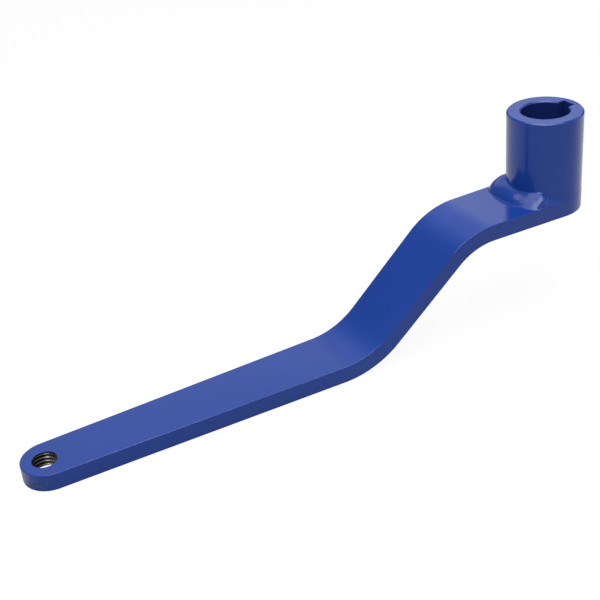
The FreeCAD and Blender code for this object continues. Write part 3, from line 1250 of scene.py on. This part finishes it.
@dataclass
class Weld:
    """The fillet weld round the arm side of the hub. Lengths are in millimetres.

    Each station gives an angle from the arm's direction towards the flank that faces the view, how
    far the bead reaches out along the bar there, how far it climbs up the hub, and how full its
    section is: under 1 is hollow, 1 a straight slope, 2 an ellipse, and more is squarer. Between
    the bar and the hub, each section has a point in the direction of each slope angle. The toes of
    a section smaller than the full flare size flare out less, and the toe on the hub flares out
    less than the one on the bar.
    """

    hub: Hub
    root_inset: float = 0.7
    root_slack: float = 0.1
    even_size: float = 5.0
    toe_flare: float = 0.7
    toe_width: float = 2.0
    upper_toe: float = 0.6
    full_flare_size: float = 6.0
    step: float = 0.75
    smooth_angle: float = 60.0
    stations: tuple[Station, ...] = (
        (-60.0, 0.5, 0.5, 1.3), (-56.0, 2.6, 3.2, 1.5), (-53.0, 4.6, 5.4, 1.6),
        (-50.0, 5.9, 6.5, 1.6), (-47.0, 7.1, 7.0, 1.6), (-43.0, 8.3, 6.9, 1.6),
        (-37.0, 8.9, 6.6, 1.65), (-30.0, 8.7, 6.2, 1.7), (-22.0, 7.8, 6.0, 1.75),
        (-12.0, 6.6, 5.9, 1.7), (0.0, 6.1, 5.5, 1.6), (10.0, 6.1, 5.3, 1.4),
        (17.0, 6.3, 5.4, 1.2), (24.0, 6.7, 5.6, 1.12), (32.0, 7.2, 6.0, 1.1),
        (39.0, 7.7, 6.3, 1.12), (43.0, 7.6, 6.4, 1.2), (46.0, 7.0, 6.3, 1.4),
        (48.5, 6.3, 6.1, 1.65), (50.5, 5.6, 5.8, 1.9), (52.5, 4.9, 5.3, 2.0),
        (54.0, 4.3, 4.9, 1.8), (55.5, 3.9, 4.6, 1.3), (57.0, 3.6, 4.5, 0.95),
        (59.0, 3.4, 4.5, 0.75), (62.0, 2.8, 4.3, 0.7), (66.0, 2.1, 4.1, 0.7),
        (70.0, 1.4, 3.8, 0.7), (75.0, 0.85, 3.4, 0.7), (80.0, 0.45, 2.6, 0.7),
        (85.0, 0.15, 1.5, 0.8),
    )
    slope_angles: tuple[float, ...] = (
        0.0, 1.2, 2.6, 4.2, 6.2, 9.0, 13.0, 18.0, 24.0, 30.0, 36.0, 41.0, 45.0, 48.0, 51.0, 54.0,
        56.0, 58.0, 60.0, 62.0, 64.0, 66.0, 68.0, 70.0, 72.0, 74.0, 76.0, 78.5, 80.5, 82.5, 84.5,
        86.3, 87.8, 89.0, 90.0,
    )

    def build(self) -> Piece:
        """Spin an even bead's section round the hub and draw each of its sections to its own size.

        Returns:
            The bead's object.
        """
        first, last = self.stations[0][0], self.stations[-1][0]
        steps = round((last - first) / self.step)
        start, size = math.radians(first), self.even_size
        section = [(self.hub.outer_radius - self.root_inset, -self.root_inset)]
        for angle in self.slope_angles:
            lean = math.radians(angle)
            section.append((self.hub.outer_radius + size * math.cos(lean), size * math.sin(lean)))
        points = [(r * math.cos(start), r * math.sin(start), z) for r, z in section]
        bead = draw_chain("weld_bead_run", points, closed=True)
        with editing(bead):
            spin(last - first, steps, ORIGIN, Axis.Z)
            bpy.ops.mesh.select_all(action="SELECT")
            bpy.ops.mesh.fill_holes(sides=0)
            self.draw_sections(bead)
            close_shell()
        return bead

    def draw_sections(self, bead: Piece) -> None:
        """Move each point of the even bead but those of its root to the bead's real surface.

        Args:
            bead: the bead's object, in edit mode.
        """
        shape = bmesh.from_edit_mesh(bead.data)
        for vert in shape.verts:
            out = math.hypot(vert.co.x, vert.co.y) / MM - self.hub.outer_radius
            up = vert.co.z / MM
            if out < -self.root_slack:
                continue
            turn = math.atan2(vert.co.y, vert.co.x)
            lean = math.atan2(up, out)
            size = self.size_at(lean, *self.section_at(math.degrees(turn)))
            radius = self.hub.outer_radius + size * math.cos(lean)
            place = (radius * math.cos(turn), radius * math.sin(turn), size * math.sin(lean))
            vert.co = metres(place)
        bmesh.update_edit_mesh(bead.data)

    def section_at(self, turn: float) -> tuple[float, ...]:
        """Read the bead's section from smooth curves through the stations.

        Args:
            turn: an angle round the hub, in degrees.

        Returns:
            The reach, the rise and the fullness there.
        """
        table = (self.stations[0], *self.stations, self.stations[-1])
        last = len(self.stations) - 1
        i = next((k for k in range(last) if turn <= self.stations[k + 1][0]), last - 1)
        before, start, end, after = table[i:i + 4]
        width = end[0] - start[0]
        share = min(1.0, max(0.0, (turn - start[0]) / width))
        squared, cubed = share ** 2, share ** 3
        values = []
        for a, b, c, d in zip(before[1:], start[1:], end[1:], after[1:]):
            leaving = (c - a) / max(end[0] - before[0], width) * width
            arriving = (d - b) / max(after[0] - start[0], width) * width
            values.append(
                (2 * cubed - 3 * squared + 1) * b + (cubed - 2 * squared + share) * leaving
                + (3 * squared - 2 * cubed) * c + (cubed - squared) * arriving
            )
        return tuple(values)

    def size_at(self, lean: float, reach: float, rise: float, fullness: float) -> float:
        """The distance from the root to the surface, whose toes flare out to nothing.

        Args:
            lean: the direction from the root, from the bar's face up to the hub's wall, in radians.
            reach: how far the bead reaches out along the bar, in millimetres.
            rise: how far it climbs up the hub, in millimetres.
            fullness: how full the section is.

        Returns:
            The distance in millimetres.
        """
        along, upward = abs(math.cos(lean)) / reach, abs(math.sin(lean)) / rise
        flat = along ** fullness + upward ** fullness
        full = self.full_flare_size
        flare = self.toe_flare * min(1.0, (reach / full) ** 2, (rise / full) ** 2)
        degrees = math.degrees(lean)
        lower = math.exp(-degrees / self.toe_width)
        upper = self.upper_toe * math.exp(-(90.0 - degrees) / self.toe_width)
        return flat ** (-1 / fullness) + flare * (lower + upper)

    def dress(self, bead: Piece, finishes: Finishes) -> None:
        """Shade the bead and give it its finish."""
        shade(bead, self.smooth_angle)
        give_finish(bead, finishes.weld)


@dataclass(frozen=True)
class PaleFloor:
    """The floor's finish: white to the view but for the object's shadow, and matt as light.

    Paint mirrors a duller floor that glows where it is far from the view, on the hub's side, and
    behind the grip end's tip. Places are in metres, and a ramp takes a value from its first two
    numbers to its last two.
    """

    name: str = "pale_floor"
    tone: float = 0.58
    mirrored_tone: float = 0.36
    view_strength: float = 1.10
    view_share: float = 0.85
    middle_x: float = 0.1
    towards_view: tuple[float, float] = (0.42, 0.91)
    far_glow: Ramp = (-0.16, 0.09, 0.49, 0.0)
    hub_side_glow: Ramp = (0.25, -0.20, 0.0, 0.18)
    tip_glow: Ramp = (0.301, 0.305, 0.0, 0.36)
    tip_side: Ramp = (0.006, 0.0, 0.0, 1.0)

    def make(self) -> Material:
        """Build the material.

        Returns:
            The new material.
        """
        material, graph = start_material(self.name)
        graph.tree.nodes.remove(graph.tree.nodes["Principled BSDF"])
        path = graph.add("ShaderNodeLightPath")
        white = graph.glow(Glow.SURFACE, self.view_strength)
        seen = graph.calc("MULTIPLY", path.outputs["Is Camera Ray"], self.view_share)
        to_view = graph.mix_shaders(seen, graph.matt(self.tone), white)
        pale = graph.glow(Glow.SURFACE, self.mirrored_glow(graph))
        lit = graph.chain(graph.add("ShaderNodeAddShader"), graph.matt(self.mirrored_tone), pale)
        surface = graph.mix_shaders(graph.mirrored(path), to_view, lit.outputs[0])
        graph.feed(graph.tree.nodes["Material Output"], Surface=surface)
        return material

    def mirrored_glow(self, graph: Graph) -> Socket:
        """How strongly the floor glows in what paint mirrors.

        Args:
            graph: the material's graph.

        Returns:
            The strength.
        """
        at = graph.parts(graph.coordinates(Coordinates.PIECE))
        along = graph.calc("SUBTRACT", at["X"], self.middle_x)
        forward = graph.calc(
            "ADD", graph.calc("MULTIPLY", along, self.towards_view[0]),
            graph.calc("MULTIPLY", at["Y"], self.towards_view[1]),
        )
        far = graph.rescale(forward, *self.far_glow, smooth=True)
        wide = graph.calc("ADD", far, graph.rescale(at["X"], *self.hub_side_glow))
        tip = graph.rescale(at["X"], *self.tip_glow)
        tip = graph.calc("MULTIPLY", tip, graph.rescale(at["Y"], *self.tip_side))
        return graph.calc("ADD", wide, tip)


@dataclass(frozen=True)
class Surroundings:
    """The world: white to the view, soft grey as light, and a pale sweep in what paint mirrors.

    A bearing is a compass angle in degrees from X towards Y, and a ramp takes a value from its
    first two numbers to its last two: the nearness to a bearing, or the height of a direction.
    """

    view_strength: float = 1.0
    light_strength: float = 0.33
    sweep_bearing: float = 215.0
    sweep_width: Ramp = (0.22, 0.74, 0.0, 1.0)
    sweep_foot: Ramp = (0.20, 0.42, 0.0, 1.0)
    sweep_fade: Ramp = (0.44, 0.60, 0.86, 0.50)
    side_bearing: float = 120.0
    side_width: Ramp = (0.4, 0.9, 0.0, 0.3)
    least: float = 0.14

    def build(self) -> None:
        """Set the scene's world."""
        world = bpy.context.scene.world or bpy.data.worlds.new("studio")
        bpy.context.scene.world = world
        world.use_nodes = True
        graph = Graph(world.node_tree)
        graph.tree.nodes.clear()
        path = graph.add("ShaderNodeLightPath")
        white = graph.glow(Glow.WORLD, self.view_strength)
        soft = graph.glow(Glow.WORLD, self.light_strength)
        sweep = graph.glow(Glow.WORLD, self.mirrored_tone(graph))
        hidden = graph.mix_shaders(graph.mirrored(path), soft, sweep)
        result = graph.mix_shaders(path.outputs["Is Camera Ray"], hidden, white)
        graph.feed(graph.add("ShaderNodeOutputWorld"), Surface=result)

    def mirrored_tone(self, graph: Graph) -> Socket:
        """How bright the surroundings are in what paint mirrors.

        A pale sweep stands behind the object, from above a dark skirting up. A dimmer one stands
        to a side, and the rest is dark.

        Args:
            graph: the world's graph.

        Returns:
            The brightness.
        """
        way = graph.parts(graph.coordinates(Coordinates.DIRECTION))
        behind = graph.rescale(
            self.nearness(graph, way, self.sweep_bearing), *self.sweep_width, smooth=True
        )
        over_skirting = graph.rescale(way["Z"], *self.sweep_foot, smooth=True)
        fading = graph.rescale(way["Z"], *self.sweep_fade, smooth=True)
        sweep = graph.calc("MULTIPLY", behind, graph.calc("MULTIPLY", over_skirting, fading))
        side = graph.rescale(
            self.nearness(graph, way, self.side_bearing), *self.side_width, smooth=True
        )
        return graph.calc("ADD", graph.calc("MAXIMUM", sweep, side), self.least)

    @staticmethod
    def nearness(graph: Graph, way: bpy.types.NodeOutputs, bearing: float) -> Socket:
        """How nearly a direction points to a bearing, as the cosine of the angle between them.

        Args:
            graph: the world's graph.
            way: the direction's three parts.
            bearing: the compass angle in degrees.

        Returns:
            The cosine.
        """
        level = graph.feed(graph.add("ShaderNodeCombineXYZ"), X=way["X"], Y=way["Y"])
        unit = graph.vector("NORMALIZE", level.outputs["Vector"])
        angle = math.radians(bearing)
        towards = (math.cos(angle), math.sin(angle), 0.0)
        return graph.vector("DOT_PRODUCT", unit.outputs["Vector"], towards).outputs["Value"]


@dataclass(frozen=True)
class Softbox:
    """A square lamp that shines straight down. Lengths are in metres, and power is in watts."""

    place: Point
    size: float
    power: float

    def build(self) -> None:
        """Add the lamp."""
        bpy.ops.object.light_add(type="AREA", location=self.place)
        lamp = bpy.context.object.data
        lamp.shape = "SQUARE"
        lamp.size = self.size
        lamp.energy = self.power


@dataclass
class Studio:
    """The camera, two soft lamps, the floor and the surroundings. Lengths are in metres."""

    floor_size: float = 6.0
    floor_place: Point = (0.1, 0.0, -0.0616)
    overhead: Softbox = Softbox((0.1, 0.10, 0.8), 0.92, 4.9)
    key: Softbox = Softbox((0.26, 0.22, 0.79), 0.60, 2.6)
    camera_place: Point = (0.36767, 0.442885, 0.270158)
    camera_turn: Point = (59.7212, 4.8478, 151.1752)
    lens: float = 69.0

    def build(self) -> None:
        """Set the camera, the lamps, the floor and the surroundings."""
        self.add_camera()
        self.overhead.build()
        self.key.build()
        self.add_floor()
        Surroundings().build()
        bpy.context.scene.view_settings.view_transform = "Standard"

    def add_camera(self) -> None:
        """Look down from the near flank's side, along the arm from its grip end."""
        bpy.ops.object.camera_add(location=self.camera_place)
        camera = bpy.context.object
        camera.rotation_euler = [math.radians(angle) for angle in self.camera_turn]
        camera.data.lens = self.lens
        bpy.context.scene.camera = camera

    def add_floor(self) -> None:
        """Lay the floor just under the bar's lowest face."""
        deselect_all()
        bpy.ops.mesh.primitive_plane_add(size=self.floor_size, location=self.floor_place)
        floor = take_new("floor")
        settle(floor)
        give_finish(floor, PaleFloor().make())


def report(piece: Piece) -> None:
    """Log a finished piece's faces and size.

    Args:
        piece: the finished piece.
    """
    spans = []
    for i in range(3):
        places = [vert.co[i] / MM for vert in piece.data.vertices]
        spans.append("%.1f" % (max(places) - min(places)))
    log.info("%s: %d faces, %s mm", piece.name, len(piece.data.polygons), " x ".join(spans))


def main() -> None:
    """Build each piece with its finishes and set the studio."""
    logging.basicConfig(level=logging.INFO, format="%(name)s: %(message)s")
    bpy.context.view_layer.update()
    finishes = Finishes(Effects())

    bar_maker = Bar()
    thread = GripThread(bar_maker)
    bar = bar_maker.build()
    thread.cut(bar)
    bar_maker.dress(bar, finishes, thread.is_bare)
    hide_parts("arm")
    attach(bar, ROOT)
    report(bar)

    hub_maker = Hub(bar_maker)
    hub = hub_maker.build()
    hub_maker.dress(hub, finishes)
    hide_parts("hub")
    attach(hub, ROOT)
    report(hub)

    weld = Weld(hub_maker)
    bead = weld.build()
    weld.dress(bead, finishes)
    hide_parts("weld_bead")
    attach(bead, ROOT)
    report(bead)

    Studio().build()


if __name__ == "__main__":
    main()
